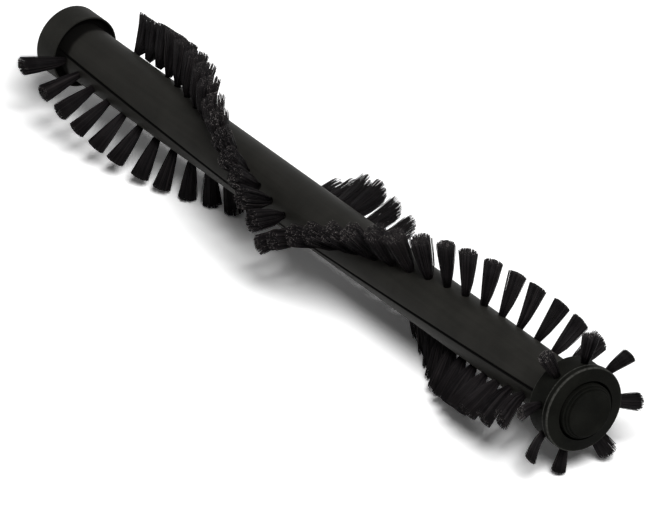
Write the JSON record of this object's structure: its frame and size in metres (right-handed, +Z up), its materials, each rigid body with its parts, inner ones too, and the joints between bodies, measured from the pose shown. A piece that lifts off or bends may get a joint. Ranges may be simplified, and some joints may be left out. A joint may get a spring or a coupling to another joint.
{
  "type": "sweeper roller brush",
  "caption": "Sweeper roller brush: round body with chevron rows of stiff bristle tufts, a tufted end cap with a stepped hub and a smooth drive collar, turning on a fixed axle.",
  "frame": {"origin": "on the roller's axis at the middle of the V that the tufts make", "axes": "+X along the axis towards the tufted end cap, +Z up as the roller lies on its bristles, +Y across"},
  "size_m": [0.3838, 0.061, 0.0608],
  "materials": {
    "shell_plastic": "satin moulded, fine grain",
    "end_plastic": "satin moulded",
    "hub_plastic": "satin turned",
    "bristle": "stiff nylon bristle",
    "staple_wire": "drawn flat wire",
    "axle_steel": "ground bright steel",
    "spring_steel": "blackened spring steel",
    "bearing_steel": "ground bearing steel",
    "cage_brass": "pressed"
  },
  "bodies": {
    "axle_set": {"axle": "axle_steel", "hub_near": "hub_plastic", "hub_far": "hub_plastic", "circlip_near": "spring_steel", "circlip_far": "spring_steel", "bearing_near_inner_race": "bearing_steel", "bearing_near_balls": "bearing_steel", "bearing_near_cage": "cage_brass", "bearing_far_inner_race": "bearing_steel", "bearing_far_balls": "bearing_steel", "bearing_far_cage": "cage_brass"},
    "roller": {"shell_upper": "shell_plastic", "shell_lower": "shell_plastic", "end_cap": "end_plastic", "drive_collar": "end_plastic", "tufts_upper_far": "bristle", "tufts_upper_near": "bristle", "tufts_lower_far": "bristle", "tufts_lower_near": "bristle", "tufts_end_cap": "bristle", "staples_upper": "staple_wire", "staples_lower": "staple_wire", "staples_end_cap": "staple_wire", "bearing_near_outer_race": "bearing_steel", "bearing_near_shields": "bearing_steel", "bearing_far_outer_race": "bearing_steel", "bearing_far_shields": "bearing_steel"}
  },
  "joints": [
    {"name": "roller_spin", "type": "hinge", "parent": "axle_set", "child": "roller", "pos_m": [0, 0, 0], "axis": [1, 0, 0], "continuous": true}
  ]
}
